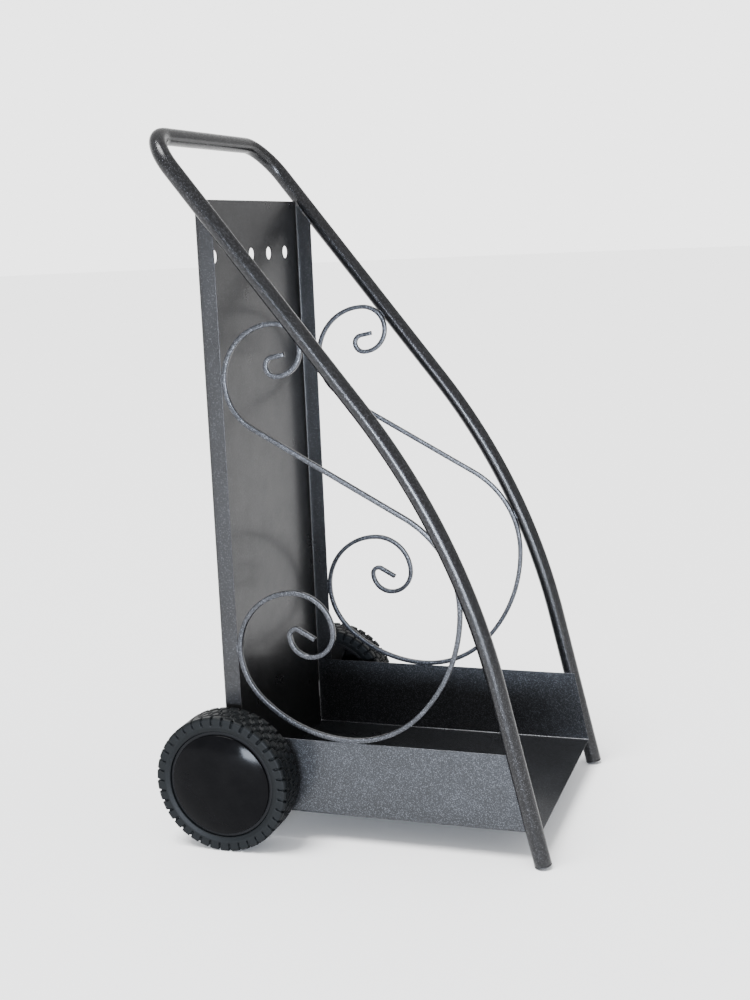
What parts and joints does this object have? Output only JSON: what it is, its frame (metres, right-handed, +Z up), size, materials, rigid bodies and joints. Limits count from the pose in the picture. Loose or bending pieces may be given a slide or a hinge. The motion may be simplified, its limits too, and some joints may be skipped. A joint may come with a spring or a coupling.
{
  "type": "fireside log cart",
  "caption": "Two-wheeled log cart: a bent tube handle that also forms the feet, a folded back panel and open tray between them, and scrolled bars at the sides.",
  "frame": {"origin": "on the floor, midway across the cart and midway between the front of the feet and the back of the wheels", "axes": "+Z up, -Y towards the open front of the tray, +Y towards the wheels and the hand bar, X across the cart; left is the side at -X"},
  "size_m": [0.47, 0.5093, 0.9169],
  "materials": {
    "frame_coat": "dark grey hammered powder coat with a fine silver fleck, semi-gloss",
    "scroll_coat": "the same hammered coat on square bar, brighter along the corners",
    "plug_plastic": "black moulded plastic",
    "tyre_rubber": "matt black rubber with a block tread",
    "rim_plastic": "black moulded plastic, satin",
    "cap_plastic": "smooth glossy black",
    "bush_nylon": "dark nylon",
    "zinc_steel": "bright zinc plate"
  },
  "bodies": {
    "frame": {"handle_tube": "frame_coat", "back_panel": "frame_coat", "tray": "frame_coat", "scroll_left": "scroll_coat", "foot_plug_left": "plug_plastic", "axle_stub_left": "frame_coat", "inner_washer_left": "zinc_steel", "outer_washer_left": "zinc_steel", "lock_nut_left": "zinc_steel", "scroll_right": "scroll_coat", "foot_plug_right": "plug_plastic", "axle_stub_right": "frame_coat", "inner_washer_right": "zinc_steel", "outer_washer_right": "zinc_steel", "lock_nut_right": "zinc_steel"},
    "left_wheel": {"inner_bush_left": "bush_nylon", "wheel_rim_left": "rim_plastic", "tyre_left": "tyre_rubber", "outer_bush_left": "bush_nylon", "hub_cap_left": "cap_plastic"},
    "right_wheel": {"inner_bush_right": "bush_nylon", "wheel_rim_right": "rim_plastic", "tyre_right": "tyre_rubber", "outer_bush_right": "bush_nylon", "hub_cap_right": "cap_plastic"}
  },
  "joints": [
    {"name": "left_wheel_spin", "type": "hinge", "parent": "frame", "child": "left_wheel", "pos_m": [-0.204, 0.16467, 0.09], "axis": [1, 0, 0], "continuous": true},
    {"name": "right_wheel_spin", "type": "hinge", "parent": "frame", "child": "right_wheel", "pos_m": [0.204, 0.16467, 0.09], "axis": [1, 0, 0], "continuous": true}
  ]
}
